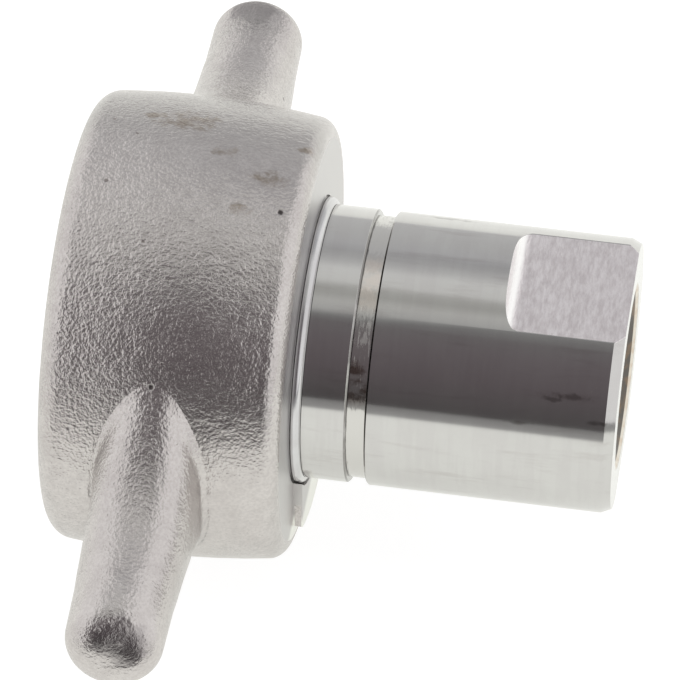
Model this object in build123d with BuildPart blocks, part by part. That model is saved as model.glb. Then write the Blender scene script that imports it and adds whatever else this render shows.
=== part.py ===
from build123d import *
import os

# A screw-to-connect hydraulic coupling half: a cast wing nut turning on a turned steel body,
# with a spring-loaded poppet valve inside. The coupling axis is X. The origin is the centre of
# the hose port's face, +X leads out of the port and the wing nut's open mouth faces -X.
# All sizes are in millimetres.

# Rear body
body_d = 41.0
across_flats = 36.0
flat_length = 18.0
flat_runout_r = 2.5
end_chamfer_length = 1.5
end_chamfer_height = 0.7
edge_break = 0.25

# Hose port, G 3/4 female, drawn at the thread's minor diameter
port_thread_r = 12.06
port_chamfer = 1.94
port_chamfer_length = 1.2
port_depth = 19.0
passage_r = 10.0
passage_length = 3.5

# Screwed joint between the two bodies
socket_wall = 3.9
chamber_wall = 7.0
shank_wall = 3.0
shank_lip = 0.8
socket_end_gap = 0.5
screw_clearance = 0.06

# Lanyard groove round the rear body
cap_groove_start = 36.4
cap_groove_width = 2.8
cap_groove_depth = 0.9

# Wire ring that keeps the nut on the body
wire_d = 2.0
wire_offset = 7.55
wire_slack = 0.06
wire_gap = 1.6

# Wing nut casting
nut_length = 35.4
nut_side_wall = 8.2
nut_front_drop = 1.0
nut_rear_drop = 1.6
nut_front_fillet = 3.4
nut_rear_fillet = 2.8
nut_pocket_depth = 0.51
nut_pocket_clearance = 0.25
nut_bore_clearance = 0.3
nut_wall = 5.65
nut_thread_clearance = 0.3
nut_thread_length = 18.0
nut_relief_depth = 1.8
nut_mouth_chamfer = 2.2
pad_inset = 4.3
pad_height = 1.4
pad_width = 36.0

# Handles, cast in one with the nut
handle_offset = 0.8
handle_sink = 5.4
handle_reach = 65.5
handle_tip_r = 7.0
handle_taper = 0.75
handle_tip_flat_r = 2.0
gusset_sink = 6.9
gusset_flare = 0.2
gusset_foot_inset = 0.67
gusset_reach = 19.6
gusset_steps = 4
gusset_curve = 2.2
gusset_blend_r = 1.0

# Thrust washer and the nut's travel along the body
washer_thickness = 1.2
washer_clearance = 0.1
washer_bore_clearance = 0.25
nut_travel = 3.0

# Front body with the thrust flange, nose and valve seat
flange_height = 3.6
flange_thickness = 3.0
nose_step = 5.9
nose_length = 15.4
nose_chamfer = 0.8
seat_lip = 3.4
seat_width = 3.0
guide_shoulder = 0.8

# Seals
seal_clearance = 0.05
seal_sides = 8
body_seal_depth = 1.9
body_seal_offset = 1.2
nose_seal_depth = 2.3
nose_seal_section = 2.5
nose_seal_offset = 5.4
backup_width = 1.3
wiper_width = 2.4
wiper_depth = 1.8
wiper_offset = 1.5

# Poppet valve
poppet_travel = 6.0
stem_r = 3.6
stem_tail = 4.5
head_overlap = 1.4
head_thickness = 3.0
face_seal_inset = 0.15
face_seal_thickness = 2.05
cap_clearance = 0.3
cap_recess = 0.2
cap_crown = 1.4
cap_spigot_r = 4.0
spanner_hole_r = 0.9
spanner_hole_inset = 3.1
spanner_hole_depth = 1.1

# Valve guide, its bush and its snap ring
guide_thickness = 4.3
guide_rim = 1.8
guide_arm_width = 3.6
guide_arms = 3
hub_wall = 2.05
bush_wall = 1.5
stem_clearance = 0.05
snap_ring_thickness = 1.2
snap_ring_height = 2.0
snap_ring_depth = 0.8
snap_ring_gap = 5.0

# Valve spring and its seat ring
spring_wire = 1.4
spring_mean_r = 6.2
spring_turns = 4.5
spring_spare = 1.9
spring_spigot_clearance = 0.4
spring_spigot_length = 1.5
seat_ring_margin = 1.3
seat_ring_thickness = 0.8

# Radii that follow from the sizes above, from the body outwards and then inwards
body_r = body_d / 2
flange_r = body_r + flange_height
nut_pocket_r = body_r + wire_d / 2 + nut_pocket_clearance
nut_thread_r = flange_r + nut_thread_clearance
nut_relief_r = nut_thread_r + nut_relief_depth
nut_mouth_r = nut_thread_r + nut_mouth_chamfer
nut_mid_r = nut_relief_r + nut_side_wall
nut_front_r = nut_mid_r - nut_front_drop
nut_rear_r = nut_mid_r - nut_rear_drop
pad_r = nut_rear_r - pad_inset
handle_root_r = handle_tip_r + handle_taper
socket_r = body_r - socket_wall
chamber_r = body_r - chamber_wall
port_mouth_r = port_thread_r + port_chamfer
nose_r = flange_r - nose_step
guide_bore_r = socket_r - shank_wall
seat_chamber_r = guide_bore_r - guide_shoulder
nose_opening_r = seat_chamber_r - seat_width
head_r = nose_opening_r + head_overlap
cap_r = nose_opening_r - cap_clearance
bush_r = stem_r + stem_clearance + bush_wall
hub_r = bush_r + hub_wall
seat_ring_r = spring_mean_r + spring_wire / 2 + seat_ring_margin

# Places along the axis, from the port towards the nose
cap_groove_end = cap_groove_start + cap_groove_width
wire_x = -cap_groove_end - wire_offset
pocket_x = wire_x - wire_d / 2 - wire_slack
nut_rear_x = pocket_x + nut_pocket_depth
nut_front_x = nut_rear_x - nut_length
handle_x = nut_rear_x - nut_length / 2 - handle_offset
shoulder_x = pocket_x - nut_wall
washer_x = shoulder_x - washer_clearance - washer_thickness
flange_x = washer_x - washer_clearance - nut_travel
flange_front_x = flange_x - flange_thickness
nose_x = flange_front_x - nose_length
body_seal_x = flange_x + body_seal_offset
body_seal_width = body_seal_depth + backup_width + 3 * seal_clearance
nose_seal_x = nose_x + nose_seal_offset
nose_seal_width = nose_seal_section + backup_width + 3 * seal_clearance

# Places of the valve, from the nose back to the end of the front body's shank
seat_top_x = nose_x + seat_lip
cap_x = nose_x + cap_recess
face_seal_x = seat_top_x + face_seal_inset
head_x = face_seal_x + face_seal_thickness
head_rear_x = head_x + head_thickness
spring_solid_length = (spring_turns + 1) * spring_wire
seat_ring_x = head_rear_x + poppet_travel + spring_solid_length + spring_spare
guide_x = seat_ring_x + seat_ring_thickness
guide_rear_x = guide_x + guide_thickness
snap_groove_x = guide_rear_x + snap_ring_thickness + 2 * seal_clearance
shank_x = snap_groove_x + shank_lip
socket_x = shank_x + socket_end_gap

# Distances of the handles' gussets from the coupling axis
gusset_foot = nut_mid_r - gusset_sink
gusset_foot_rise = (nut_mid_r**2 - gusset_foot**2) ** 0.5 - gusset_foot_inset
gusset_end = nut_mid_r + gusset_reach


def ring(outer_r, inner_r, front_x, width):
    """A plain flat-sided ring on the coupling axis, from front_x towards the port."""
    with BuildPart() as made:
        with BuildSketch(Plane.YZ.offset(front_x)):
            Circle(outer_r)
            Circle(inner_r, mode=Mode.SUBTRACT)
        extrude(amount=width)
    return made.part


def seal_ring(centre_x, centre_r, section_r):
    """A seal ring on the coupling axis, its round section drawn with eight sides."""
    with BuildPart() as made:
        with BuildSketch(Plane.XZ):
            with Locations((centre_x, centre_r)):
                RegularPolygon(section_r, seal_sides, rotation=180 / seal_sides)
        revolve(axis=Axis.X)
    return made.part


def round_gusset_foot(edge):
    """Whether an edge runs round the foot of one gusset, where it meets the barrel."""
    box = edge.bounding_box()
    near, far = sorted((abs(box.min.Y), abs(box.max.Y)))
    return box.min.Y * box.max.Y > 0 and gusset_foot < near and far < nut_mid_r


def save(part, name):
    """Label one piece and write it to the file of the same name."""
    part.label = name
    export_step(part, f"parts/{name}.step")


os.makedirs("parts", exist_ok=True)

# Rear body: a turned barrel with the hose port, the valve chamber, the lanyard groove and a
# half-round groove for the wire ring, and two milled wrench flats.
with BuildPart() as rear_body:
    groove_floor_r = body_r - cap_groove_depth
    passage_x = -port_depth - passage_length
    with BuildSketch(Plane.XZ):
        with BuildLine():
            Polyline(
                (-port_chamfer_length, port_thread_r),
                (0, port_mouth_r),
                (0, body_r - end_chamfer_height),
                (-end_chamfer_length, body_r),
                (edge_break - cap_groove_start, body_r),
                (-cap_groove_start, body_r - edge_break),
                (-cap_groove_start, groove_floor_r),
                (-cap_groove_end, groove_floor_r),
                (-cap_groove_end, body_r - edge_break),
                (-cap_groove_end - edge_break, body_r),
                (flange_x, body_r),
                (flange_x, socket_r),
                (socket_x, socket_r),
                (socket_x, chamber_r),
                (passage_x + passage_r - chamber_r, chamber_r),
                (passage_x, passage_r),
                (-port_depth, passage_r),
                (-port_depth, port_thread_r),
                close=True,
            )
        make_face()
        with Locations((wire_x, body_r)):
            Circle(wire_d / 2 + wire_slack, mode=Mode.SUBTRACT)
    revolve(axis=Axis.X)
    for side in (1, -1):
        with BuildSketch(Plane.XZ):
            with BuildLine():
                FilletPolyline(
                    (end_chamfer_length, side * across_flats / 2),
                    (-flat_length, side * across_flats / 2),
                    (-flat_length, side * body_d),
                    radius=flat_runout_r,
                )
                Polyline(
                    (-flat_length, side * body_d),
                    (end_chamfer_length, side * body_d),
                    (end_chamfer_length, side * across_flats / 2),
                )
            make_face()
        extrude(amount=body_r, both=True, mode=Mode.SUBTRACT)
save(rear_body.part, "rear_body")

# Front body: it screws into the rear body up to its thrust flange, carries the seals on its
# shank and nose, and holds the conical valve seat behind the nose opening.
with BuildPart() as front_body:
    shank_r = socket_r - screw_clearance
    seat_foot_x = seat_top_x + seat_chamber_r - nose_opening_r
    snap_groove_r = guide_bore_r + snap_ring_depth
    with BuildSketch(Plane.XZ):
        with BuildLine():
            Polyline(
                (nose_x, nose_opening_r),
                (nose_x, nose_r - nose_chamfer),
                (nose_x + nose_chamfer, nose_r),
                (nose_seal_x, nose_r),
                (nose_seal_x, nose_r - nose_seal_depth),
                (nose_seal_x + nose_seal_width, nose_r - nose_seal_depth),
                (nose_seal_x + nose_seal_width, nose_r),
                (flange_front_x, nose_r),
                (flange_front_x, flange_r - edge_break),
                (flange_front_x + edge_break, flange_r),
                (flange_x, flange_r),
                (flange_x, shank_r),
                (body_seal_x, shank_r),
                (body_seal_x, socket_r - body_seal_depth),
                (body_seal_x + body_seal_width, socket_r - body_seal_depth),
                (body_seal_x + body_seal_width, shank_r),
                (shank_x, shank_r),
                (shank_x, guide_bore_r),
                (snap_groove_x, guide_bore_r),
                (snap_groove_x, snap_groove_r),
                (guide_rear_x, snap_groove_r),
                (guide_rear_x, guide_bore_r),
                (guide_x, guide_bore_r),
                (guide_x, seat_chamber_r),
                (seat_foot_x, seat_chamber_r),
                (seat_top_x, nose_opening_r),
                close=True,
            )
        make_face()
    revolve(axis=Axis.X)
save(front_body.part, "front_body")

# Seal between the two bodies, with its backup ring on the low-pressure side.
body_seal_r = (body_seal_depth - seal_clearance) / 2
body_seal = seal_ring(
    body_seal_x + body_seal_width - seal_clearance - body_seal_r,
    socket_r - body_seal_depth / 2,
    body_seal_r,
)
save(body_seal, "body_o_ring")
body_backup = ring(
    socket_r - seal_clearance,
    socket_r - body_seal_depth + seal_clearance,
    body_seal_x + seal_clearance,
    backup_width,
)
save(body_backup, "body_backup_ring")

# Seal on the nose that meets the other coupling half, with its backup ring.
nose_seal = seal_ring(
    nose_seal_x + seal_clearance + nose_seal_section / 2,
    nose_r - nose_seal_depth + seal_clearance + nose_seal_section / 2,
    nose_seal_section / 2,
)
save(nose_seal, "nose_o_ring")
nose_backup = ring(
    nose_r - seal_clearance,
    nose_r - nose_seal_depth + seal_clearance,
    nose_seal_x + nose_seal_width - seal_clearance - backup_width,
    backup_width,
)
save(nose_backup, "nose_backup_ring")

# Split wire ring, half sunk in the rear body. The nut's pocket rests against it.
with BuildPart() as nut_retaining_ring:
    with BuildSketch(Plane.XZ):
        with Locations((wire_x, body_r)):
            Circle(wire_d / 2)
    revolve(axis=Axis.X)
    with Locations((wire_x, 0, -body_r)):
        Box(2 * wire_d, wire_gap, 2 * wire_d, mode=Mode.SUBTRACT)
save(nut_retaining_ring.part, "nut_retaining_ring")

# Thrust washer between the front body's flange and the nut's inner shoulder.
thrust_washer = ring(flange_r, body_r + washer_bore_clearance, washer_x, washer_thickness)
save(thrust_washer, "thrust_washer")

# Wing nut: a crowned cast barrel with a pad below the hole in its rear face, a coarse thread in its
# mouth and two tapered handles. Each handle runs into the barrel through a gusset that fades out.
with BuildPart() as wing_nut:
    nut_bore_r = body_r + nut_bore_clearance
    thread_end_x = nut_front_x + nut_mouth_r - nut_thread_r + nut_thread_length
    wiper_x = shoulder_x + wiper_offset
    with BuildSketch(Plane.XZ) as nut_section:
        with BuildLine():
            ThreePointArc(
                (nut_front_x, nut_front_r),
                (nut_rear_x - nut_length / 2, nut_mid_r),
                (nut_rear_x, nut_rear_r),
            )
            Polyline(
                (nut_rear_x, nut_rear_r),
                (nut_rear_x, nut_pocket_r),
                (pocket_x, nut_pocket_r),
                (pocket_x, nut_bore_r),
                (wiper_x + wiper_width, nut_bore_r),
                (wiper_x + wiper_width, nut_bore_r + wiper_depth),
                (wiper_x, nut_bore_r + wiper_depth),
                (wiper_x, nut_bore_r),
                (shoulder_x, nut_bore_r),
                (shoulder_x, nut_relief_r),
                (thread_end_x, nut_relief_r),
                (thread_end_x, nut_thread_r),
                (nut_front_x + nut_mouth_r - nut_thread_r, nut_thread_r),
                (nut_front_x, nut_mouth_r),
                (nut_front_x, nut_front_r),
            )
        make_face()
        for rim_x, rim_fillet in ((nut_front_x, nut_front_fillet), (nut_rear_x, nut_rear_fillet)):
            on_rim = nut_section.vertices().filter_by_position(Axis.X, rim_x - edge_break, rim_x + edge_break)
            fillet(on_rim.sort_by(Axis.Y)[-1], radius=rim_fillet)
    revolve(axis=Axis.X)
    with BuildSketch(Plane.YZ.offset(nut_rear_x)):
        Circle(pad_r)
        Circle(nut_pocket_r, mode=Mode.SUBTRACT)
        with Locations((0, -pad_r / 2)):
            Rectangle(pad_width, pad_r, mode=Mode.INTERSECT)
    extrude(amount=pad_height)
    handle_start = nut_mid_r - handle_sink
    handle_slope = handle_taper / (handle_reach - handle_start)
    for side in (1, -1):
        handle_plane = Plane(origin=(handle_x, 0, 0), x_dir=(0, side, 0), z_dir=(1, 0, 0))
        with BuildSketch(handle_plane):
            with BuildLine():
                FilletPolyline(
                    (handle_start, handle_root_r),
                    (handle_reach, handle_tip_r),
                    (handle_reach, 0),
                    radius=handle_tip_r - handle_tip_flat_r,
                )
                Polyline((handle_reach, 0), (handle_start, 0), (handle_start, handle_root_r))
            make_face()
        revolve(axis=Axis((handle_x, 0, 0), (0, 1, 0)))
        for step in range(gusset_steps + 1):
            left = 1 - step / gusset_steps
            distance = gusset_end - left * (gusset_end - gusset_foot)
            handle_r = handle_root_r - handle_slope * (distance - handle_start)
            rise = (gusset_foot_rise - handle_root_r) * left**gusset_curve
            centre = (handle_x, side * distance, 0)
            with BuildSketch(Plane(origin=centre, x_dir=(1, 0, 0), z_dir=(0, side, 0))):
                Ellipse(handle_r + gusset_flare * left, handle_r + rise)
        loft()
    fillet(wing_nut.edges().filter_by(round_gusset_foot), radius=gusset_blend_r)
save(wing_nut.part, "wing_nut")

# Wiper ring in the nut's bore, which keeps dirt out from behind.
wiper = ring(
    nut_bore_r + wiper_depth - seal_clearance,
    body_r + seal_clearance,
    wiper_x + seal_clearance,
    wiper_width - 2 * seal_clearance,
)
save(wiper, "nut_wiper_ring")

# Poppet: head and stem in one, with a front spigot for the cap and a step that centres the spring.
with BuildPart() as poppet:
    cap_floor_x = cap_x + cap_crown
    spring_spigot_r = spring_mean_r - spring_wire / 2 - spring_spigot_clearance
    step_x = head_rear_x + spring_spigot_length
    stem_end_x = guide_rear_x + stem_tail
    with BuildSketch(Plane.XZ):
        with BuildLine():
            Polyline(
                (cap_floor_x + screw_clearance, 0),
                (cap_floor_x + screw_clearance, cap_spigot_r),
                (head_x, cap_spigot_r),
                (head_x, head_r),
                (head_rear_x, head_r),
                (head_rear_x, spring_spigot_r),
                (step_x, spring_spigot_r),
                (step_x, stem_r),
                (stem_end_x - edge_break, stem_r),
                (stem_end_x, stem_r - edge_break),
                (stem_end_x, 0),
                close=True,
            )
        make_face()
    revolve(axis=Axis.X)
save(poppet.part, "poppet")

# Face seal clamped under the cap. Its rim follows the valve seat's cone.
with BuildPart() as poppet_seal:
    seal_rim_r = nose_opening_r + face_seal_inset - 2 * seal_clearance
    seal_full_r = head_r - seal_clearance
    with BuildSketch(Plane.XZ):
        with BuildLine():
            Polyline(
                (face_seal_x, cap_spigot_r + seal_clearance),
                (face_seal_x, seal_rim_r),
                (face_seal_x + seal_full_r - seal_rim_r, seal_full_r),
                (head_x, seal_full_r),
                (head_x, cap_spigot_r + seal_clearance),
                close=True,
            )
        make_face()
    revolve(axis=Axis.X)
save(poppet_seal.part, "poppet_seal")

# Cap on the poppet's nose, with two holes for a pin spanner.
with BuildPart() as poppet_cap:
    with BuildSketch(Plane.YZ.offset(cap_x)):
        Circle(cap_r)
    extrude(amount=face_seal_x - cap_x)
    with BuildSketch(Plane.YZ.offset(cap_floor_x)):
        Circle(cap_spigot_r + screw_clearance)
    extrude(amount=face_seal_x - cap_floor_x, mode=Mode.SUBTRACT)
    with BuildSketch(Plane.YZ.offset(cap_x)):
        with PolarLocations(cap_r - spanner_hole_inset, 2):
            Circle(spanner_hole_r)
    extrude(amount=spanner_hole_depth, mode=Mode.SUBTRACT)
save(poppet_cap.part, "poppet_cap")

# Valve guide: a hub on arms inside a rim, held against the front body's shoulder.
with BuildPart() as valve_guide:
    rim_r = guide_bore_r - screw_clearance
    with BuildSketch(Plane.YZ.offset(guide_x)):
        Circle(rim_r)
        Circle(rim_r - guide_rim, mode=Mode.SUBTRACT)
        Circle(hub_r)
        arm_length = rim_r - guide_rim / 2
        with PolarLocations(arm_length / 2, guide_arms, start_angle=90):
            Rectangle(arm_length, guide_arm_width)
        Circle(bush_r, mode=Mode.SUBTRACT)
    extrude(amount=guide_thickness)
save(valve_guide.part, "valve_guide")
bush = ring(bush_r, stem_r + stem_clearance, guide_x, guide_thickness)
save(bush, "guide_bush")

# Snap ring behind the guide, open at the bottom.
with BuildPart() as guide_snap_ring:
    snap_ring_r = snap_groove_r - seal_clearance
    with BuildSketch(Plane.YZ.offset(guide_rear_x + seal_clearance)):
        Circle(snap_ring_r)
        Circle(snap_ring_r - snap_ring_height, mode=Mode.SUBTRACT)
        with Locations((0, -snap_ring_r)):
            Rectangle(snap_ring_gap, 2 * snap_ring_r - 2 * stem_r, mode=Mode.SUBTRACT)
    extrude(amount=snap_ring_thickness)
save(guide_snap_ring.part, "guide_snap_ring")

# Seat ring that spreads the spring's load over the guide's arms.
seat_ring = ring(seat_ring_r, bush_r, seat_ring_x, seat_ring_thickness)
save(seat_ring, "spring_seat_ring")

# Valve spring of square wire, between the poppet's head and the seat ring.
with BuildPart() as valve_spring:
    spring_x = head_rear_x + seal_clearance
    spring_end_x = seat_ring_x - seal_clearance
    coil_length = spring_end_x - spring_x - spring_wire
    coil = Helix(
        pitch=coil_length / spring_turns,
        height=coil_length,
        radius=spring_mean_r,
        center=(spring_x + spring_wire / 2, 0, 0),
        direction=(1, 0, 0),
    )
    coil_start = coil @ 0
    with BuildSketch(Plane(coil_start, x_dir=(0, coil_start.Y, coil_start.Z), z_dir=coil % 0)):
        Rectangle(spring_wire, spring_wire)
    sweep(path=coil, is_frenet=True)
save(valve_spring.part, "valve_spring")
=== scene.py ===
import bpy
import numpy as np
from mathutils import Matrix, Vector


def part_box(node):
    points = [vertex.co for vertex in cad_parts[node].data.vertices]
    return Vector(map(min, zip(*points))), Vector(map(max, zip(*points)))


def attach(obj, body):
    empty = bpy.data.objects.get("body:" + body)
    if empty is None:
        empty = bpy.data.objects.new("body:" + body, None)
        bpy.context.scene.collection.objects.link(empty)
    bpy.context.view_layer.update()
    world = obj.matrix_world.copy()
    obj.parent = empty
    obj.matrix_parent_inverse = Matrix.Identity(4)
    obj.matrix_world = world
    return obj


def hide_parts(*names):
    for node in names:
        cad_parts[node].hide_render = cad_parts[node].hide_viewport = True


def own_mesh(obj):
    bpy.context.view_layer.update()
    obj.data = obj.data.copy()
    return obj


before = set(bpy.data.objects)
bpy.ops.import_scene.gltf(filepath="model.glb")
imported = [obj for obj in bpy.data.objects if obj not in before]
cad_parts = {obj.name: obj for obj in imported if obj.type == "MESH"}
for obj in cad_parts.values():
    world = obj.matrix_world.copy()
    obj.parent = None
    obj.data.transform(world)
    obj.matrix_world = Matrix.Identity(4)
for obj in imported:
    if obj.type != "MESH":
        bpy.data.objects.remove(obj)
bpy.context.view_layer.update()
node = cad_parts


# Camera: a long lens, above and in front of the coupling and a little towards its hose port. Its
# place and lens were fitted to the outline of the real one.
camera_place = Vector((0.0343425, -0.4898678, 0.5559113))
camera_aim = Vector((-0.0431323, 0.0004238, 0.0001135))
long_lens = bpy.data.cameras.new("studio_camera")
long_lens.lens = 264.7
long_lens.sensor_width = 36.0
camera = bpy.data.objects.new("studio_camera", long_lens)
camera.location = camera_place
camera.rotation_mode = "QUATERNION"
camera.rotation_quaternion = (camera_aim - camera_place).to_track_quat("-Z", "Y")
bpy.context.scene.collection.objects.link(camera)
bpy.context.scene.camera = camera
bpy.context.scene.view_settings.view_transform = "Standard"


# Studio: a white light tent round a white table, open towards the camera. The opening is what
# makes the dark band along the turned body. The table's far front edge is dark as well.
def shader_node(tree, kind, settings=None, inputs=None):
    """One node of a shader. settings are its own choices, and inputs are values or other nodes' outputs."""
    made = tree.nodes.new("ShaderNode" + kind)
    for name, value in (settings or {}).items():
        setattr(made, name, value)
    for name, value in (inputs or {}).items():
        if isinstance(value, bpy.types.NodeSocket):
            tree.links.new(value, made.inputs[name])
        else:
            made.inputs[name].default_value = value
    return made


def calculate(tree, operation, *values):
    """A Math node's result."""
    return shader_node(tree, "Math", {"operation": operation}, dict(enumerate(values))).outputs[0]


def smooth_step(tree, value, low, high):
    """0 below low and 1 above high, with a smooth change between them. low above high turns it round."""
    settings = {"interpolation_type": "SMOOTHSTEP", "clamp": True}
    flipped = low > high
    inputs = {"Value": value, "From Min": min(low, high), "From Max": max(low, high)}
    inputs.update({"To Min": float(flipped), "To Max": float(not flipped)})
    return shader_node(tree, "MapRange", settings, inputs).outputs["Result"]


def mix_colours(tree, share, first, second):
    """first where share is 0 and second where it is 1."""
    inputs = {"Factor": share, 6: first, 7: second}
    return shader_node(tree, "Mix", {"data_type": "RGBA"}, inputs).outputs[2]


def mix_numbers(tree, share, first, second):
    """first where share is 0 and second where it is 1."""
    return shader_node(tree, "Mix", None, {"Factor": share, 2: first, 3: second}).outputs[0]


# The tent's colour by the angle at which the coupling sees it, in degrees: 0 is level towards the
# camera, 90 straight up, 180 level away from it and -90 straight down.
tent_wall = (
    (-180, (0.95, 0.95, 0.94)),
    (-60, (0.95, 0.95, 0.94)),
    (-20, (0.080, 0.076, 0.077)),
    (0, (0.100, 0.093, 0.094)),
    (30, (0.148, 0.128, 0.136)),
    (52, (0.178, 0.157, 0.166)),
    (66, (0.195, 0.181, 0.186)),
    (71, (0.26, 0.26, 0.26)),
    (75, (0.54, 0.54, 0.53)),
    (83, (0.61, 0.61, 0.59)),
    (90, (0.48, 0.48, 0.46)),
    (96, (0.53, 0.53, 0.51)),
    (101, (0.77, 0.77, 0.755)),
    (113, (0.80, 0.80, 0.79)),
    (120, (0.62, 0.62, 0.62)),
    (128, (0.50, 0.50, 0.505)),
    (133, (0.44, 0.44, 0.45)),
    (140, (0.57, 0.57, 0.58)),
    (155, (0.61, 0.61, 0.61)),
    (180, (0.67, 0.67, 0.67)),
)
studio = bpy.data.worlds.new("light_tent")
studio.use_nodes = True
tree = studio.node_tree
tree.nodes.clear()
direction = shader_node(tree, "TexCoord").outputs["Generated"]
toward = shader_node(tree, "SeparateXYZ", None, {"Vector": direction})
front = calculate(tree, "MULTIPLY", toward.outputs["Y"], -1.0)
height_angle = calculate(tree, "ARCTAN2", toward.outputs["Z"], front)
share = calculate(tree, "ADD", calculate(tree, "DIVIDE", height_angle, 2 * np.pi), 0.5)
wall = shader_node(tree, "ValToRGB", None, {"Fac": share})
for number, (degrees, colour) in enumerate(tent_wall):
    place = degrees / 360 + 0.5
    stop = wall.color_ramp.elements[number] if number < 2 else wall.color_ramp.elements.new(place)
    stop.position = place
    stop.color = (*colour, 1)
side_wall_start, side_wall_full = 0.24, 0.55
sideways = calculate(tree, "ABSOLUTE", toward.outputs["X"])
side_wall = smooth_step(tree, sideways, side_wall_start, side_wall_full)
tent = mix_colours(tree, side_wall, wall.outputs["Color"], (1.0, 0.99, 0.985, 1))
rays = shader_node(tree, "LightPath")
seen = mix_colours(tree, rays.outputs["Is Camera Ray"], tent, (1, 1, 1, 1))
background = shader_node(tree, "Background", None, {"Color": seen, "Strength": 1.0})
shader_node(tree, "OutputWorld", None, {"Surface": background.outputs[0]})
bpy.context.scene.world = studio

floor_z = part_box("wing_nut")[0].z
table_half = 4.0
corners = [(-table_half, -table_half, floor_z), (table_half, -table_half, floor_z)]
corners += [(table_half, table_half, floor_z), (-table_half, table_half, floor_z)]
table_mesh = bpy.data.meshes.new("table")
table_mesh.from_pydata(corners, [], [(0, 1, 2, 3)])
table = bpy.data.objects.new("table", table_mesh)
bpy.context.scene.collection.objects.link(table)
white_table = bpy.data.materials.new("white_table")
white_table.use_nodes = True
white_table.cycles.emission_sampling = "NONE"
tree = white_table.node_tree
tree.nodes.clear()
dark_up_to_y, lit_from_y = -0.29, -0.24
dark_glow, lit_glow = 0.08, 0.74
place = shader_node(tree, "SeparateXYZ", None, {0: shader_node(tree, "TexCoord").outputs["Object"]})
lit_part = smooth_step(tree, place.outputs["Y"], dark_up_to_y, lit_from_y)
lit_part = mix_numbers(tree, lit_part, dark_glow, lit_glow)
rays = shader_node(tree, "LightPath")
by_eye = rays.outputs["Is Camera Ray"]
glow = shader_node(
    tree,
    "Emission",
    None,
    {
        "Color": mix_colours(tree, by_eye, (1, 1.01, 0.955, 1), (1, 1, 1, 1)),
        "Strength": mix_numbers(tree, by_eye, lit_part, 0.86),
    },
)
matt = shader_node(tree, "BsdfDiffuse", None, {"Color": (0.3, 0.3, 0.3, 1)})
both = shader_node(tree, "AddShader", None, {0: glow.outputs[0], 1: matt.outputs[0]})
shader_node(tree, "OutputMaterial", None, {"Surface": both.outputs[0]})
table_mesh.materials.append(white_table)

overhead = bpy.data.lights.new("overhead_softbox", "AREA")
overhead.shape = "RECTANGLE"
overhead.size = 0.9
overhead.size_y = 0.9
overhead.energy = 4.0
overhead_lamp = bpy.data.objects.new("overhead_softbox", overhead)
overhead_lamp.location = (-0.05, 0.15, 0.9)
overhead_lamp.visible_glossy = False
bpy.context.scene.collection.objects.link(overhead_lamp)


# Rear body: bar steel turned on a lathe, bright plated, with two milled wrench flats, a lanyard
# groove that has kept some brown oil, and a pipe thread cut in the hose port.
def new_finish(name):
    """An empty material and its shader tree."""
    material = bpy.data.materials.new(name)
    material.use_nodes = True
    material.node_tree.nodes.clear()
    return material, material.node_tree


def new_effect(name, inputs, outputs):
    """A shader group with number inputs {name: value} and number outputs. Gives it, its ways in and out."""
    group = bpy.data.node_groups.new(name, "ShaderNodeTree")
    for label, value in inputs.items():
        socket = group.interface.new_socket(label, in_out="INPUT", socket_type="NodeSocketFloat")
        socket.default_value = value
    for label in outputs:
        group.interface.new_socket(label, in_out="OUTPUT", socket_type="NodeSocketFloat")
    way_in = group.nodes.new("NodeGroupInput")
    way_out = group.nodes.new("NodeGroupOutput")
    return group, way_in, way_out


def place_effect(tree, group, **values):
    """Puts an effect in a material, with its inputs named in words joined by underscores."""
    made = tree.nodes.new("ShaderNodeGroup")
    made.node_tree = group
    for name, value in values.items():
        made.inputs[name.replace("_", " ")].default_value = value
    return made


def noise(tree, where, scale, detail=3.0, roughness=0.5):
    """Clouds from 0 to 1, about a metre over scale across."""
    inputs = {"Vector": where, "Scale": scale, "Detail": detail, "Roughness": roughness}
    return shader_node(tree, "TexNoise", None, inputs).outputs[0]


def bump(tree, height, depth, after=None):
    """A normal that follows height, from 0 to 1, over depth metres, on top of an earlier normal."""
    inputs = {"Height": height, "Distance": depth}
    if after is not None:
        inputs["Normal"] = after
    return shader_node(tree, "Bump", None, inputs).outputs["Normal"]


def product(tree, first, *others):
    """Several masks or numbers multiplied."""
    for other in others:
        first = calculate(tree, "MULTIPLY", first, other)
    return first


def between(tree, value, start, full, fading, end):
    """1 from full to fading, 0 before start and after end, with a smooth change between them."""
    return product(tree, smooth_step(tree, value, start, full), smooth_step(tree, value, end, fading))


def finish_surface(tree, colour, roughness, normal, metallic=1.0):
    """The material's one shader, joined to its output."""
    inputs = {"Base Color": colour, "Metallic": metallic, "Roughness": roughness, "Normal": normal}
    surface = shader_node(tree, "BsdfPrincipled", None, inputs)
    shader_node(tree, "OutputMaterial", None, {"Surface": surface.outputs[0]})


def round_axis(tree):
    """The object's own place, its three coordinates, and its distance from the coupling axis."""
    place = shader_node(tree, "TexCoord").outputs["Object"]
    spot = shader_node(tree, "SeparateXYZ", None, {0: place})
    along, across, up = spot.outputs["X"], spot.outputs["Y"], spot.outputs["Z"]
    squares = calculate(tree, "MULTIPLY_ADD", across, across, calculate(tree, "MULTIPLY", up, up))
    return place, along, across, up, calculate(tree, "SQRT", squares)


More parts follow.
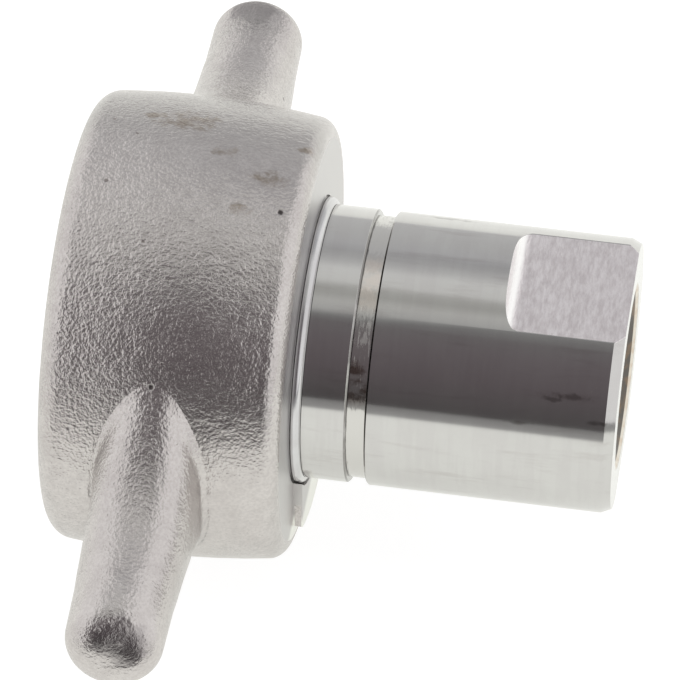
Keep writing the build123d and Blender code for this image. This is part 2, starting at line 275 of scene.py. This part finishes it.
# Tool marks run round the coupling axis: they change fast along the axis and outwards, on faces too,
# and slowly round it. Tone is the slow cloudiness of the plating over them, and Streaks are broader
# lines that run the same way.
turning, way_in, way_out = new_effect(
    "turning_marks", {"Lines per metre": 5000.0, "Waver": 1.5}, ("Height", "Tone", "Streaks")
)
place, along, across, up, radius = round_axis(turning)
pitch_in, waver_in = way_in.outputs["Lines per metre"], way_in.outputs["Waver"]
tool_path = calculate(turning, "MULTIPLY", calculate(turning, "ADD", along, radius), pitch_in)
round_y = product(turning, calculate(turning, "DIVIDE", across, radius), waver_in)
round_z = product(turning, calculate(turning, "DIVIDE", up, radius), waver_in)
stretched = shader_node(turning, "CombineXYZ", None, {0: tool_path, 1: round_y, 2: round_z})
turning.links.new(noise(turning, stretched.outputs[0], 1.0, 2.0), way_out.inputs["Height"])
turning.links.new(noise(turning, place, 130.0, 4.0, 0.6), way_out.inputs["Tone"])
slow_path = calculate(turning, "MULTIPLY", tool_path, 0.12)
broad = shader_node(turning, "CombineXYZ", None, {0: slow_path, 1: round_y, 2: round_z})
turning.links.new(noise(turning, broad.outputs[0], 1.0, 3.0, 0.6), way_out.inputs["Streaks"])


def from_centre(tree, way_in):
    """The object's own place, and the step to it from an effect's centre, given as its X, Y and Z."""
    place = shader_node(tree, "TexCoord").outputs["Object"]
    centre = shader_node(tree, "CombineXYZ", None, {axis: way_in.outputs[axis] for axis in "XYZ"})
    away = shader_node(tree, "VectorMath", {"operation": "SUBTRACT"}, {0: place, 1: centre.outputs[0]})
    return place, away.outputs[0]


def length_of(tree, step):
    """How long a step is."""
    return shader_node(tree, "VectorMath", {"operation": "LENGTH"}, {0: step}).outputs["Value"]


# A spot of stain or a dent: 1 at its centre, 0 past its size, with an uneven edge.
spot_mark, way_in, way_out = new_effect(
    "spot_mark",
    {"X": 0.0, "Y": 0.0, "Z": 0.0, "Size": 0.003, "Stretch": 1.0, "Unevenness": 0.5},
    ("Mark",),
)
place, away = from_centre(spot_mark, way_in)
away = shader_node(spot_mark, "SeparateXYZ", None, {0: away})
along = calculate(spot_mark, "DIVIDE", away.outputs["X"], way_in.outputs["Stretch"])
away = shader_node(spot_mark, "CombineXYZ", None, {0: along, 1: away.outputs["Y"], 2: away.outputs["Z"]})
away = calculate(spot_mark, "DIVIDE", length_of(spot_mark, away.outputs[0]), way_in.outputs["Size"])
ragged = calculate(spot_mark, "SUBTRACT", noise(spot_mark, place, 700.0, 3.0, 0.6), 0.5)
ragged = product(spot_mark, ragged, way_in.outputs["Unevenness"], 3.0)
away = calculate(spot_mark, "ADD", ragged, away)
spot_mark.links.new(smooth_step(spot_mark, away, 1.0, 0.25), way_out.inputs["Mark"])


def marked(tree, spots, stretch=1.0, unevenness=0.5):
    """The strongest of several spots, each (x, y, z, size), in metres, stretched along the coupling."""
    strongest = 0.0
    for x, y, z, size in spots:
        look = {"Size": size, "Stretch": stretch, "Unevenness": unevenness}
        mark = place_effect(tree, spot_mark, X=x, Y=y, Z=z, **look)
        strongest = calculate(tree, "MAXIMUM", mark.outputs["Mark"], strongest)
    return strongest


body_skin_r = 0.02043
flat_z = 0.018
flat_end_x = -0.018
groove_x = -0.0378
groove_half_width = 0.00135
groove_lip_r = 0.0200
groove_wall_offset = 0.00145
port_mouth_r = 0.0139
port_middle_x, port_half_length = -0.01205, 0.012
port_lip_x, port_wall_x = -0.00040, -0.00048
smudges = (
    (-0.0279, 0.0123, 0.0164, 0.0010),
    (-0.0068, -0.0162, 0.0125, 0.0007),
    (-0.0095, -0.0166, 0.0120, 0.0005),
    (-0.0026, -0.0182, 0.0096, 0.0005),
    (-0.0140, -0.0187, 0.0084, 0.0004),
)
plated_steel, tree = new_finish("plated_turned_steel")
place, along, across, up, radius = round_axis(tree)

# Where the milled flats are, and the curve at their inner end, where the cutter ran out, which is painted
# with a highlight.
below_skin = calculate(tree, "LESS_THAN", radius, body_skin_r)
near_port = calculate(tree, "GREATER_THAN", along, flat_end_x - 0.003)
high_part = calculate(tree, "GREATER_THAN", calculate(tree, "ABSOLUTE", up), flat_z - 0.00005)
milled_part = product(tree, below_skin, near_port, high_part)
runout_and_highlight = smooth_step(tree, along, flat_end_x + 0.0019, flat_end_x + 0.0010)
runout_and_highlight = product(tree, milled_part, runout_and_highlight)
turned = calculate(tree, "SUBTRACT", 1.0, milled_part)

# Where the groove and the port are. The first part of the port, its lip, is brighter than its wall, which
# is painted dark as the shade deep in the bore.
in_groove = calculate(tree, "COMPARE", along, groove_x, groove_half_width)
in_groove = product(tree, in_groove, calculate(tree, "LESS_THAN", radius, groove_lip_r))
in_mouth = calculate(tree, "LESS_THAN", radius, port_mouth_r)
in_mouth = product(tree, in_mouth, calculate(tree, "COMPARE", along, port_middle_x, port_half_length))
port_depth_shade = product(tree, in_mouth, smooth_step(tree, along, port_lip_x, port_wall_x))

marks = place_effect(tree, turning, Lines_per_metre=5200.0, Waver=1.2)
groove_marks = place_effect(tree, turning, Lines_per_metre=2600.0, Waver=9.0)
smudge = marked(tree, smudges, 5.0, 0.8)
mill_place = shader_node(tree, "Mapping", None, {"Vector": place, "Scale": (1.0, 0.3, 1.0)}).outputs[0]
mill_marks = noise(tree, mill_place, 2600.0, 3.0, 0.6)
mill_clouds = smooth_step(tree, noise(tree, mill_place, 1700.0, 5.0, 0.7), 0.28, 0.72)
smear_place = shader_node(tree, "Mapping", None, {"Vector": place, "Scale": (0.16, 1.0, 1.0)}).outputs[0]
smears = smooth_step(tree, noise(tree, smear_place, 480.0, 4.0, 0.62), 0.52, 0.74)
streaked = smooth_step(tree, marks.outputs["Streaks"], 0.42, 0.60)

plated = mix_colours(tree, marks.outputs["Tone"], (0.575, 0.563, 0.557, 1), (0.655, 0.655, 0.640, 1))
plated = mix_colours(tree, product(tree, streaked, 0.22), plated, (0.55, 0.53, 0.53, 1))
plated = mix_colours(tree, product(tree, smears, 0.35), plated, (0.46, 0.43, 0.42, 1))
plated = mix_colours(tree, product(tree, smudge, 0.6), plated, (0.20, 0.18, 0.17, 1))
milled = mix_colours(tree, mill_clouds, (0.745, 0.69, 0.70, 1), (0.91, 0.87, 0.885, 1))
# Painted highlight: the run-out curve is painted near white.
milled = mix_colours(tree, runout_and_highlight, milled, (1.0, 1.0, 0.99, 1))
colour = mix_colours(tree, milled_part, plated, milled)

# The groove's old oil, with light painted into it: a painted highlight on the oil on top, towards the
# camera, a dull dried film below that, a painted dark reflection on the oil lower down, and painted shade
# along both walls.
oil = smooth_step(tree, groove_marks.outputs["Streaks"], 0.36, 0.60)
on_camera_side = smooth_step(tree, across, 0.0012, -0.0015)
# The oil is painted pale on top towards the camera as a highlight, and dark lower down as the dark
# reflection band.
oil_and_highlight = product(tree, oil, smooth_step(tree, up, 0.0168, 0.0182), on_camera_side)
film_lines = smooth_step(tree, groove_marks.outputs["Height"], 0.40, 0.56)
dry_film = product(tree, oil, in_groove, between(tree, up, 0.0112, 0.0128, 0.0172, 0.0188), film_lines)
oil_and_dark_reflection = product(tree, oil, between(tree, up, 0.0065, 0.0090, 0.0122, 0.0140))
oil_with_painted_light = mix_colours(tree, oil_and_highlight, (0.64, 0.63, 0.61, 1), (0.72, 0.67, 0.625, 1))
oil_with_painted_light = mix_colours(tree, oil_and_dark_reflection, oil_with_painted_light, (0.25, 0.20, 0.175, 1))
colour = mix_colours(tree, in_groove, colour, oil_with_painted_light)
# Painted shade along both groove walls, uneven along their length.
from_groove = calculate(tree, "ABSOLUTE", calculate(tree, "SUBTRACT", along, groove_x))
groove_wall_shade = calculate(tree, "COMPARE", from_groove, groove_wall_offset, 0.00017)
groove_wall_shade = product(tree, groove_wall_shade, smooth_step(tree, groove_marks.outputs["Tone"], 0.25, 0.55), 0.75)
colour = mix_colours(tree, groove_wall_shade, colour, (0.16, 0.15, 0.14, 1))

rust = smooth_step(tree, noise(tree, place, 500.0, 3.0, 0.6), 0.42, 0.62)
port_lip = mix_colours(tree, rust, (0.74, 0.69, 0.62, 1), (0.66, 0.57, 0.48, 1))
# Painted shade: the port's wall beyond its lip is painted dark, with rust through it.
port_wall_shade_and_rust = mix_colours(tree, rust, (0.12, 0.11, 0.10, 1), (0.20, 0.15, 0.11, 1))
colour = mix_colours(tree, in_mouth, colour, port_lip)
colour = mix_colours(tree, port_depth_shade, colour, port_wall_shade_and_rust)

roughness = mix_numbers(tree, marks.outputs["Tone"], 0.08, 0.14)
roughness = mix_numbers(tree, milled_part, roughness, mix_numbers(tree, mill_clouds, 0.30, 0.42))
roughness = mix_numbers(tree, runout_and_highlight, roughness, 0.3)
roughness = mix_numbers(tree, in_mouth, roughness, 0.34)
roughness = mix_numbers(tree, dry_film, roughness, 0.38)
normal = bump(tree, product(tree, marks.outputs["Height"], turned), 0.000006)
normal = bump(tree, product(tree, mill_marks, milled_part), 0.00008, normal)
normal = bump(tree, product(tree, groove_marks.outputs["Height"], in_groove), 0.00005, normal)
finish_surface(tree, colour, roughness, normal)


def finish_node(name, material):
    """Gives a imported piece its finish, in place of the plain one that it came with."""
    slots = node[name].material_slots
    if slots:
        for slot in slots:
            slot.material = material
    else:
        node[name].data.materials.append(material)


finish_node("rear_body", plated_steel)


# Hose port thread: a 14 per inch pipe thread cut in the port, drawn as the ridge that stands up
# from the port's wall between the cuts.
def sweep_surface(name, rings):
    """A closed surface through a row of like rings of points: quads from each ring to the next, and
    each end closed by one polygon. rings is an array of rings, ring points and x, y, z."""
    ring_count, point_count = rings.shape[:2]
    ring_number, point_number = np.indices((ring_count - 1, point_count))
    after = (point_number + 1) % point_count
    here = ring_number * point_count
    above = here + point_count
    quads = np.stack([here + point_number, here + after, above + after, above + point_number], -1)
    last_ring = (ring_count - 1) * point_count
    ends = [list(range(point_count))[::-1], list(range(last_ring, last_ring + point_count))]
    mesh = bpy.data.meshes.new(name)
    mesh.from_pydata(rings.reshape(-1, 3).tolist(), [], quads.reshape(-1, 4).tolist() + ends)
    mesh.polygons.foreach_set("use_smooth", np.ones(len(mesh.polygons), dtype=bool))
    piece = bpy.data.objects.new(name, mesh)
    bpy.context.scene.collection.objects.link(piece)
    return piece


def thread_ridge(name, wall_r, start_x, pitch, turns, height):
    """A ridge round a bore's wall, which stands up towards the axis. Its point at turn t and place p in
    the section is at x = start - pitch * t + p.x and radius = wall - p.height * fade(t), at the angle
    -2 pi t. The section is a flat-topped triangle whose two edges lie behind the wall. fade rises from 0
    to 1 over the first third of a turn and falls back over the last one."""
    points_per_turn = 64
    turn = np.linspace(0, turns, int(turns * points_per_turn) + 1)[:, None]
    section_x = np.array([0.44, 0.36, 0.10, -0.10, -0.36, -0.44]) * pitch
    section_height = np.array([-0.25, 0.0, 1.0, 1.0, 0.0, -0.25]) * height
    fade = np.clip(np.minimum(turn, turns - turn) * 3, 0, 1)
    fade = fade * fade * (3 - 2 * fade)
    radius = wall_r - np.where(section_height > 0, section_height * fade, section_height)
    angle = -2 * np.pi * turn
    x = start_x - pitch * turn + section_x
    rings = np.stack([x, radius * np.cos(angle), radius * np.sin(angle)], -1)
    return sweep_surface(name, rings)


def finish_piece(piece, material, body):
    """A new piece's material, and the body it rides on."""
    piece.data.materials.append(material)
    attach(piece, body)


port_ridge = thread_ridge(
    "hose_port_thread", wall_r=0.01206, start_x=-0.0019, pitch=0.001814, turns=8.5, height=0.00042
)
finish_piece(port_ridge, plated_steel, "core")


# Wing nut: one steel casting, shot-blasted to a satin grey with a grain like orange peel. Its bore
# and thread are machined, and the skin has a few pits and brown stains.
cast_skin, way_in, way_out = new_effect(
    "cast_skin",
    {"Grain per metre": 2100.0, "Pits per metre": 260.0},
    ("Height", "Pits", "Tone", "Wear", "Specks"),
)
place = shader_node(cast_skin, "TexCoord").outputs["Object"]
along = shader_node(cast_skin, "SeparateXYZ", None, {0: place}).outputs["X"]
grain_in = way_in.outputs["Grain per metre"]
grain = noise(cast_skin, place, grain_in, 2.0, 0.5)
lumps = noise(cast_skin, place, product(cast_skin, grain_in, 0.26), 2.0, 0.5)
coarse = smooth_step(cast_skin, noise(cast_skin, place, 55.0, 2.0, 0.5), 0.40, 0.60)
mouth_side = smooth_step(cast_skin, along, -0.060, -0.074)
strength = calculate(cast_skin, "MULTIPLY_ADD", mouth_side, 0.6, 0.85)
strength = calculate(cast_skin, "MULTIPLY_ADD", coarse, 0.4, strength)
height = calculate(cast_skin, "ADD", lumps, product(cast_skin, grain, strength))
pit_inputs = {"Vector": place, "Scale": way_in.outputs["Pits per metre"], "Randomness": 1.0}
pit_cells = shader_node(cast_skin, "TexVoronoi", None, pit_inputs)
pit = smooth_step(cast_skin, pit_cells.outputs["Distance"], 0.10, 0.05)
chosen = calculate(cast_skin, "GREATER_THAN", noise(cast_skin, place, 70.0, 1.0), 0.60)
pit = product(cast_skin, pit, chosen)
height = calculate(cast_skin, "MULTIPLY_ADD", pit, -0.6, height)
cast_skin.links.new(height, way_out.inputs["Height"])
cast_skin.links.new(pit, way_out.inputs["Pits"])
cast_skin.links.new(noise(cast_skin, place, 85.0, 4.0, 0.6), way_out.inputs["Tone"])
cast_skin.links.new(smooth_step(cast_skin, grain, 0.62, 0.36), way_out.inputs["Specks"])
cast_skin.links.new(noise(cast_skin, place, 420.0, 4.0, 0.65), way_out.inputs["Wear"])

# A place where the casting's gate was ground away: a nearly flat disc with swirl marks round its
# middle. Its height in metres is size squared * flatness * (1 - 1 / e to the power of share squared),
# where share is the distance from its middle over its size.
one_over_e = 0.36788
ground_patch, way_in, way_out = new_effect(
    "ground_patch",
    {"X": 0.0, "Y": 0.0, "Z": 0.0, "Size": 0.0042, "Flatness": 40.0},
    ("Height", "Swirl", "Mark"),
)
place, away = from_centre(ground_patch, way_in)
size_in, flatness_in = way_in.outputs["Size"], way_in.outputs["Flatness"]
reach = length_of(ground_patch, away)
share = calculate(ground_patch, "DIVIDE", reach, size_in)
fall = calculate(ground_patch, "POWER", one_over_e, product(ground_patch, share, share))
rise = calculate(ground_patch, "SUBTRACT", 1.0, fall)
size_squared = product(ground_patch, size_in, size_in)
ground_patch.links.new(product(ground_patch, size_squared, rise, flatness_in), way_out.inputs["Height"])
round_it = shader_node(ground_patch, "VectorMath", {"operation": "NORMALIZE"}, {0: away}).outputs[0]
round_it = shader_node(ground_patch, "SeparateXYZ", None, {0: round_it})
wobble = calculate(ground_patch, "SUBTRACT", noise(ground_patch, place, 330.0, 3.0, 0.6), 0.5)
rings = product(ground_patch, calculate(ground_patch, "MULTIPLY_ADD", wobble, 0.003, reach), 2200.0)
turn_x = product(ground_patch, round_it.outputs["X"], 2.5)
turn_z = product(ground_patch, round_it.outputs["Z"], 2.5)
swirl = shader_node(ground_patch, "CombineXYZ", None, {0: rings, 1: turn_x, 2: turn_z})
ground_patch.links.new(noise(ground_patch, swirl.outputs[0], 1.0, 3.0, 0.6), way_out.inputs["Swirl"])
ragged = calculate(ground_patch, "MULTIPLY_ADD", wobble, 1.2, share)
ground_patch.links.new(smooth_step(ground_patch, ragged, 0.85, 0.55), way_out.inputs["Mark"])

stains = (
    (-0.0670, 0.0107, 0.0325, 0.0036),
    (-0.0725, 0.0112, 0.0322, 0.0012),
    (-0.0607, 0.0045, 0.0340, 0.0015),
    (-0.0533, -0.0002, 0.0338, 0.0020),
    (-0.0565, -0.0062, 0.0334, 0.0013),
    (-0.0490, 0.0080, 0.0320, 0.0012),
)
dents = (
    (-0.0508, -0.0056, 0.0329, 0.0006),
    (-0.0658, -0.0290, 0.0186, 0.00055),
)
gates = ((-0.0640, -0.0648, 0.0044), (-0.0662, 0.0610, 0.0062))
nut_bore_r = 0.0249
faced_x = -0.0473
pad_from_x = -0.0461
faced_r = 0.0303
cast_steel, tree = new_finish("blasted_cast_steel")
place, along, across, up, radius = round_axis(tree)

# Where the casting is machined: its bore and thread, its rear face and the pad on that face.
rear_face = calculate(tree, "COMPARE", along, faced_x, 0.0002)
rear_face = calculate(tree, "MAXIMUM", rear_face, calculate(tree, "GREATER_THAN", along, pad_from_x))
rear_face = product(tree, rear_face, calculate(tree, "LESS_THAN", radius, faced_r))
machined = calculate(tree, "MAXIMUM", calculate(tree, "LESS_THAN", radius, nut_bore_r), rear_face)
as_cast = calculate(tree, "SUBTRACT", 1.0, machined)

skin = place_effect(tree, cast_skin, Grain_per_metre=2100.0, Pits_per_metre=260.0)
marks = place_effect(tree, turning, Lines_per_metre=3200.0, Waver=1.5)
stain = marked(tree, stains, 1.5, 0.8)
dent = marked(tree, dents)
ground_spot_and_shade = 0.0
facets = 0.0
swirls = 0.0
for x, y, z in gates:
    patch = place_effect(tree, ground_patch, X=x, Y=y, Z=z, Size=0.0052, Flatness=72.0)
    ground_spot_and_shade = calculate(tree, "MAXIMUM", patch.outputs["Mark"], ground_spot_and_shade)
    facets = calculate(tree, "ADD", patch.outputs["Height"], facets)
    swirls = calculate(tree, "MULTIPLY_ADD", patch.outputs["Swirl"], patch.outputs["Mark"], swirls)

# The skin's greys: worn patches, dark specks between the grains, painted shade on the top, brown stains,
# ground ends painted darker as a dark reflection, pits and dents. The faced parts are dull, with a painted
# highlight low down.
wear = skin.outputs["Wear"]
worn = smooth_step(tree, wear, 0.38, 0.66)
# Painted shade: the top of the barrel, on the far side, is painted darker.
top_shade = smooth_step(tree, up, 0.0240, 0.0300)
top_shade = product(tree, top_shade, smooth_step(tree, across, 0.0010, 0.0100), 0.36)
brown = mix_colours(tree, wear, (0.22, 0.185, 0.15, 1), (0.43, 0.36, 0.30, 1))
patchy = product(tree, stain, smooth_step(tree, wear, 0.72, 0.34), 0.85)
colour = mix_colours(tree, skin.outputs["Tone"], (0.560, 0.527, 0.519, 1), (0.690, 0.664, 0.648, 1))
colour = mix_colours(tree, product(tree, worn, 0.25), colour, (0.46, 0.43, 0.42, 1))
colour = mix_colours(tree, product(tree, skin.outputs["Specks"], 0.16), colour, (0.33, 0.30, 0.295, 1))
colour = mix_colours(tree, top_shade, colour, (0.36, 0.35, 0.345, 1))
colour = mix_colours(tree, patchy, colour, brown)
# The ground spots are also painted darker, as a painted dark reflection.
colour = mix_colours(tree, product(tree, ground_spot_and_shade, 0.6), colour, (0.30, 0.28, 0.28, 1))
colour = mix_colours(tree, skin.outputs["Pits"], colour, (0.30, 0.27, 0.26, 1))
colour = mix_colours(tree, dent, colour, (0.08, 0.07, 0.07, 1))
# Painted highlight: the faced parts are painted near white low down.
lower_face_highlight = smooth_step(tree, up, -0.0190, -0.0215)
faced_with_highlight = mix_colours(tree, lower_face_highlight, (0.56, 0.545, 0.54, 1), (0.90, 0.90, 0.86, 1))
colour = mix_colours(tree, machined, colour, faced_with_highlight)

roughness = mix_numbers(tree, skin.outputs["Tone"], 0.19, 0.26)
roughness = mix_numbers(tree, ground_spot_and_shade, roughness, 0.17)
roughness = mix_numbers(tree, machined, roughness, 0.30)
skin_share = calculate(tree, "MULTIPLY_ADD", ground_spot_and_shade, -0.6, as_cast)
skin_height = calculate(tree, "MULTIPLY_ADD", dent, -0.9, skin.outputs["Height"])
normal = bump(tree, facets, 1.0)
normal = bump(tree, product(tree, skin_height, skin_share), 0.000135, normal)
normal = bump(tree, swirls, 0.00005, normal)
normal = bump(tree, product(tree, marks.outputs["Height"], machined), 0.000012, normal)
finish_surface(tree, colour, roughness, normal)
finish_node("wing_nut", cast_steel)

# Gussets: where each handle runs up on to the barrel, its back is broad and rounded and its foot
# flows into the barrel. This skin of the same casting lies a hair's breadth over the solid one.
handle_x = -0.0658
handle_root_r = 0.00775
handle_start = 0.0290
handle_slope = 0.00075 / 0.0365
barrel_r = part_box("wing_nut")[1].z
gusset_foot = 0.0275
gusset_end = 0.0540
gusset_foot_rise = (barrel_r**2 - gusset_foot**2) ** 0.5 - 0.00067
skin_gap = 0.00006
flare_height, flare_width = 0.0014, 0.0011


def gusset_skin(name, side):
    """The surface of a handle's root. At share u of the way out, the section is a rounded oblong of
    half-width a and half-height b, whose point at angle v is a * c and b * s, where c and s are the
    cosine and sine of v raised to 2 / fullness, with their signs kept. Near the barrel, sideways, it
    widens by a flare that falls with the height above the barrel. At its outer end it sinks below
    the handle."""
    share = np.linspace(0, 1, 90)[:, None]
    v = np.linspace(0, 2 * np.pi, 145)[:-1][None, :]
    distance = gusset_foot + 0.0006 + (gusset_end + 0.002 - gusset_foot) * share
    left = np.clip((gusset_end - distance) / (gusset_end - gusset_foot), 0, 1)
    handle_r = handle_root_r - handle_slope * (distance - handle_start)
    proud = skin_gap - 0.00016 * np.clip(share * 5 - 4, 0, 1)
    half_width = handle_r + 0.0002 * left + proud
    half_height = handle_r + (gusset_foot_rise - handle_root_r) * left**2.2 + proud
    fullness = 2 + 0.65 * np.clip(left * 2.2, 0, 1) - 0.35 * np.clip(left * 4 - 2.8, 0, 1)
    cosine, sine = np.cos(v), np.sin(v)
    across = half_width * np.sign(cosine) * np.abs(cosine) ** (2 / fullness)
    up = half_height * np.sign(sine) * np.abs(sine) ** (2 / fullness)
    barrel = barrel_r - 4.0 * (across + 0.0008) ** 2
    above = np.clip((np.hypot(distance, up) - barrel) / flare_height, 0, 1)
    flare = flare_width * (1 - np.sqrt(1 - (1 - above) ** 2))
    across = across + flare * np.sign(cosine) * np.abs(cosine) ** 0.5
    grid = np.stack([handle_x + across, side * distance + 0 * across, up + 0 * across], -1)
    return sweep_surface(name, grid if side < 0 else grid[:, ::-1])


for side, name in ((-1, "near_gusset_skin"), (1, "far_gusset_skin")):
    skin_piece = gusset_skin(name, side)
    finish_piece(skin_piece, cast_steel, "nut")


# Coupling thread: the coarse thread cut in the nut's bore, which draws the two coupling halves
# together. It is drawn as the ridge that stands up from the bore's wall between the cuts.
nut_thread_r = 0.0244
mouth_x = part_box("wing_nut")[0].x
nut_ridge = thread_ridge(
    "coupling_thread", wall_r=nut_thread_r, start_x=mouth_x + 0.0198, pitch=0.003, turns=5.8, height=0.00065
)
finish_piece(nut_ridge, cast_steel, "nut")


# Front body, retaining ring, thrust washer and the valve's turned pieces: plated, drawn, ground or
# turned steel, a bronze bush and a phosphated snap ring, each with the fine lines of its making.
def turned_metal(name, dark, light, smooth, rough, lines):
    """A metal with lines round the coupling axis, cloudy between two colours and two roughnesses."""
    material, tree = new_finish(name)
    marks = place_effect(tree, turning, Lines_per_metre=lines, Waver=1.5)
    tone = smooth_step(tree, marks.outputs["Tone"], 0.3, 0.7)
    tone = mix_numbers(tree, 0.45, tone, smooth_step(tree, marks.outputs["Streaks"], 0.60, 0.40))
    colour = mix_colours(tree, tone, dark, light)
    roughness = mix_numbers(tree, marks.outputs["Streaks"], smooth, rough)
    finish_surface(tree, colour, roughness, bump(tree, marks.outputs["Height"], 0.000014))
    return material


plated_nose = turned_metal(
    "plated_nose_steel",
    (0.46, 0.46, 0.455, 1),
    (0.70, 0.70, 0.69, 1),
    smooth=0.14,
    rough=0.28,
    lines=3000.0,
)
drawn_wire = turned_metal(
    "drawn_wire", (0.56, 0.55, 0.56, 1), (0.70, 0.70, 0.71, 1), smooth=0.12, rough=0.26, lines=3500.0
)
ground_steel = turned_metal(
    "ground_steel", (0.50, 0.50, 0.50, 1), (0.62, 0.62, 0.61, 1), smooth=0.20, rough=0.38, lines=2600.0
)
valve_steel = turned_metal(
    "turned_valve_steel",
    (0.47, 0.475, 0.49, 1),
    (0.58, 0.58, 0.59, 1),
    smooth=0.16,
    rough=0.32,
    lines=3800.0,
)
bush_bronze = turned_metal(
    "turned_bush_bronze",
    (0.52, 0.33, 0.15, 1),
    (0.66, 0.44, 0.21, 1),
    smooth=0.22,
    rough=0.38,
    lines=3000.0,
)
spring_steel = turned_metal(
    "phosphated_spring_steel",
    (0.13, 0.135, 0.15, 1),
    (0.21, 0.215, 0.23, 1),
    smooth=0.34,
    rough=0.5,
    lines=1800.0,
)
finish_node("front_body", plated_nose)
finish_node("nut_retaining_ring", drawn_wire)
finish_node("thrust_washer", ground_steel)
for turned_piece in ("poppet", "poppet_cap", "valve_guide", "spring_seat_ring"):
    finish_node(turned_piece, valve_steel)
finish_node("guide_bush", bush_bronze)
finish_node("guide_snap_ring", spring_steel)


# Valve spring: round wire wound in a coil with closed ends. It presses the poppet on to its seat and
# shortens when the poppet is pushed in, but here it is drawn at one length.
def coil_spring(name, wire_r, mean_r, start_x, end_x, turns, dead_share):
    """Wire of a round section carried along a coil. The coil's point at turn t is at the angle 2 pi t
    and mean_r from the axis. It moves along the axis slowly in the first and last dead_share of its
    turns and evenly between them."""
    points_per_turn = 56
    slowest = 0.22
    share = np.linspace(0, 1, int(turns * points_per_turn) + 1)
    speed = slowest + (1 - slowest) * np.clip(np.minimum(share, 1 - share) / dead_share, 0, 1)
    travel = np.concatenate([[0], np.cumsum((speed[1:] + speed[:-1]) / 2)])
    x = start_x + wire_r + (end_x - start_x - 2 * wire_r) * travel / travel[-1]
    angle = 2 * np.pi * turns * share
    outward = np.stack([np.zeros_like(angle), np.cos(angle), np.sin(angle)], -1)
    line = outward * mean_r
    line[:, 0] = x
    ahead = np.gradient(line, axis=0)
    ahead /= np.linalg.norm(ahead, axis=1, keepdims=True)
    sideways = np.cross(ahead, outward)
    section = np.linspace(0, 2 * np.pi, 15)[:-1][None, :, None]
    round_wire = np.cos(section) * outward[:, None] + np.sin(section) * sideways[:, None]
    return sweep_surface(name, line[:, None] + wire_r * round_wire)


spring_low, spring_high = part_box("valve_spring")
spring = coil_spring(
    "round_wire_spring",
    wire_r=0.0007,
    mean_r=0.0062,
    start_x=spring_low.x,
    end_x=spring_high.x,
    turns=5.5,
    dead_share=0.16,
)
finish_piece(spring, spring_steel, "core")
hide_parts("valve_spring")
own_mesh(spring)


# Seals: two moulded rubber rings of round section, a rubber wiper and face seal, and two turned
# plastic backup rings.
rubber, tree = new_finish("moulded_rubber")
place = shader_node(tree, "TexCoord").outputs["Object"]
bloom = noise(tree, place, 260.0, 4.0, 0.6)
colour = mix_colours(tree, bloom, (0.012, 0.012, 0.012, 1), (0.035, 0.034, 0.033, 1))
roughness = mix_numbers(tree, bloom, 0.38, 0.62)
normal = bump(tree, noise(tree, place, 3000.0, 2.0), 0.00002)
finish_surface(tree, colour, roughness, normal, metallic=0.0)
for rubber_piece in ("nut_wiper_ring", "poppet_seal"):
    finish_node(rubber_piece, rubber)


def seal_ring(name, centre_x, centre_r, section_r):
    """A ring of round section: its point at angle a round the axis and angle b round the section is
    section_r * sin b along the axis from its centre and centre_r + section_r * cos b from the axis."""
    around_count, section_count = 120, 18
    around = np.linspace(0, 2 * np.pi, around_count + 1)[:-1][:, None]
    section = np.linspace(0, 2 * np.pi, section_count + 1)[:-1][None, :]
    radius = centre_r + section_r * np.cos(section)
    x = np.broadcast_to(centre_x + section_r * np.sin(section), (around_count, section_count))
    grid = np.stack([x, radius * np.cos(around), radius * np.sin(around)], -1)
    row, column = np.indices((around_count, section_count))
    here = row * section_count
    beside = (row + 1) % around_count * section_count
    after = (column + 1) % section_count
    quads = np.stack([here + column, beside + column, beside + after, here + after], -1)
    mesh = bpy.data.meshes.new(name)
    mesh.from_pydata(grid.reshape(-1, 3).tolist(), [], quads.reshape(-1, 4).tolist())
    mesh.polygons.foreach_set("use_smooth", np.ones(len(mesh.polygons), dtype=bool))
    piece = bpy.data.objects.new(name, mesh)
    bpy.context.scene.collection.objects.link(piece)
    return piece


for replaced in ("body_o_ring", "nose_o_ring"):
    low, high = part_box(replaced)
    half_width = (high.x - low.x) / 2
    seal_section_r = half_width / np.cos(np.pi / 8)
    seal = seal_ring("round_" + replaced, (low.x + high.x) / 2, high.z - half_width, seal_section_r)
    finish_piece(seal, rubber, "core")
    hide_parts(replaced)

backup_plastic, tree = new_finish("turned_backup_plastic")
marks = place_effect(tree, turning, Lines_per_metre=2400.0, Waver=1.5)
colour = mix_colours(tree, marks.outputs["Tone"], (0.74, 0.72, 0.66, 1), (0.86, 0.85, 0.80, 1))
roughness = mix_numbers(tree, marks.outputs["Streaks"], 0.32, 0.5)
normal = bump(tree, marks.outputs["Height"], 0.00002)
finish_surface(tree, colour, roughness, normal, metallic=0.0)
for backup_ring in ("body_backup_ring", "nose_backup_ring"):
    finish_node(backup_ring, backup_plastic)
